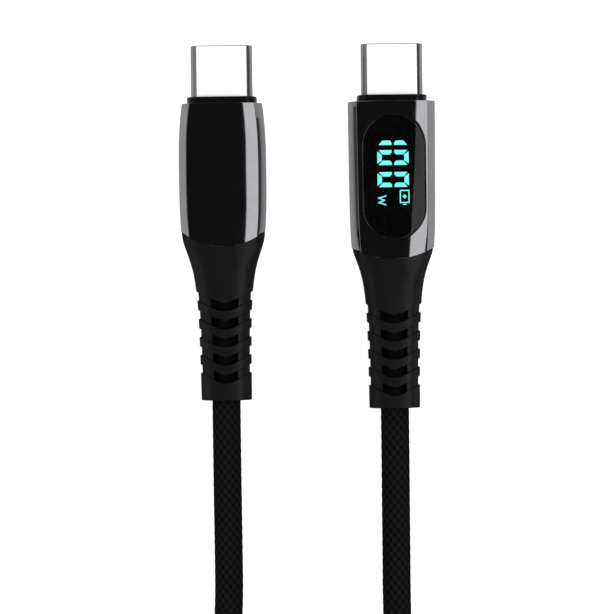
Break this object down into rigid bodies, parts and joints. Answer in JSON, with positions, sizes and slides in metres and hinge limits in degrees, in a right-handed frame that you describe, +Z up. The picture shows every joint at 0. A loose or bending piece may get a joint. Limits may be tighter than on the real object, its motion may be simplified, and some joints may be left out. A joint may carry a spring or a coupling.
{
  "type": "usb power meter cable",
  "caption": "Braided USB-C charging cable with a power meter readout in one slim glossy metal plug, a plain matching plug on the far end and its spare length tied in a hank.",
  "frame": {"origin": "on the surface the cable lies on, under the middle of the meter plug's box", "axes": "+Y along the meter plug towards its tip, +Z up out of its display, +X to the right of the digits' side"},
  "size_m": [0.035, 0.1827, 0.0113],
  "materials": {
    "black_chrome": "gloss",
    "plug_steel": "satin",
    "spring_steel": "satin",
    "gold_contacts": "gloss",
    "black_moulding": "matte",
    "smoked_lens": "gloss",
    "lit_segments": "lit",
    "dark_segments": "satin",
    "led_chips": "satin",
    "circuit_board": "satin",
    "chip_epoxy": "satin",
    "wire_skin": "satin",
    "inner_mould": "satin",
    "boot_rubber": "matte",
    "cord_braid": "braided",
    "hook_loop": "woven"
  },
  "bodies": {
    "cable": {"meter_shell": "plug_steel", "meter_insulator": "black_moulding", "meter_contact_tails": "gold_contacts", "meter_latch_plate": "spring_steel", "meter_nose": "black_moulding", "meter_casing": "black_chrome", "meter_lens": "smoked_lens", "meter_light_box": "black_moulding", "meter_lit_segments": "lit_segments", "meter_dark_segments": "dark_segments", "meter_leds": "led_chips", "meter_board": "circuit_board", "meter_chips": "chip_epoxy", "meter_spacer": "black_moulding", "meter_wires": "wire_skin", "meter_inner_mould": "inner_mould", "meter_crimp": "spring_steel", "meter_cord_end": "cord_braid", "meter_boot": "boot_rubber", "plain_shell": "plug_steel", "plain_insulator": "black_moulding", "plain_contact_tails": "gold_contacts", "plain_latch_plate": "spring_steel", "plain_nose": "black_moulding", "plain_casing": "black_chrome", "plain_board": "circuit_board", "plain_chips": "chip_epoxy", "plain_wires": "wire_skin", "plain_inner_mould": "inner_mould", "plain_crimp": "spring_steel", "plain_cord_end": "cord_braid", "plain_boot": "boot_rubber", "cord_meter_run": "cord_braid", "cord_plain_run": "cord_braid", "cord_hank": "cord_braid", "cord_tie": "hook_loop"},
    "meter_latch_left": {"meter_latch_left": "spring_steel"},
    "meter_latch_right": {"meter_latch_right": "spring_steel"},
    "meter_upper_contacts": {"meter_upper_contacts": "gold_contacts"},
    "meter_lower_contacts": {"meter_lower_contacts": "gold_contacts"},
    "plain_latch_left": {"plain_latch_left": "spring_steel"},
    "plain_latch_right": {"plain_latch_right": "spring_steel"},
    "plain_upper_contacts": {"plain_upper_contacts": "gold_contacts"},
    "plain_lower_contacts": {"plain_lower_contacts": "gold_contacts"}
  },
  "joints": [
    {"name": "meter_latch_right_flex", "type": "hinge", "parent": "cable", "child": "meter_latch_right", "pos_m": [0.00351, 0.0176, 0.0032], "axis": [0, 0, -1], "range_deg": [0, 2.6], "stiffness_Nm_per_rad": 0.2},
    {"name": "meter_latch_left_flex", "type": "hinge", "parent": "cable", "child": "meter_latch_left", "pos_m": [-0.00351, 0.0176, 0.0032], "axis": [0, 0, 1], "range_deg": [0, 2.6], "stiffness_Nm_per_rad": 0.2},
    {"name": "meter_upper_contacts_flex", "type": "hinge", "parent": "cable", "child": "meter_upper_contacts", "pos_m": [0, 0.0186, 0.00386], "axis": [1, 0, 0], "range_deg": [0, 2.4], "stiffness_Nm_per_rad": 0.2},
    {"name": "meter_lower_contacts_flex", "type": "hinge", "parent": "cable", "child": "meter_lower_contacts", "pos_m": [0, 0.0186, 0.00254], "axis": [-1, 0, 0], "range_deg": [0, 2.4], "stiffness_Nm_per_rad": 0.2},
    {"name": "plain_latch_right_flex", "type": "hinge", "parent": "cable", "child": "plain_latch_right", "pos_m": [-0.01924, 0.0176, 0.0032], "axis": [0, 0, -1], "range_deg": [0, 2.6], "stiffness_Nm_per_rad": 0.2},
    {"name": "plain_latch_left_flex", "type": "hinge", "parent": "cable", "child": "plain_latch_left", "pos_m": [-0.02626, 0.0176, 0.0032], "axis": [0, 0, 1], "range_deg": [0, 2.6], "stiffness_Nm_per_rad": 0.2},
    {"name": "plain_upper_contacts_flex", "type": "hinge", "parent": "cable", "child": "plain_upper_contacts", "pos_m": [-0.02275, 0.0186, 0.00386], "axis": [1, 0, 0], "range_deg": [0, 2.4], "stiffness_Nm_per_rad": 0.2},
    {"name": "plain_lower_contacts_flex", "type": "hinge", "parent": "cable", "child": "plain_lower_contacts", "pos_m": [-0.02275, 0.0186, 0.00254], "axis": [-1, 0, 0], "range_deg": [0, 2.4], "stiffness_Nm_per_rad": 0.2}
  ]
}
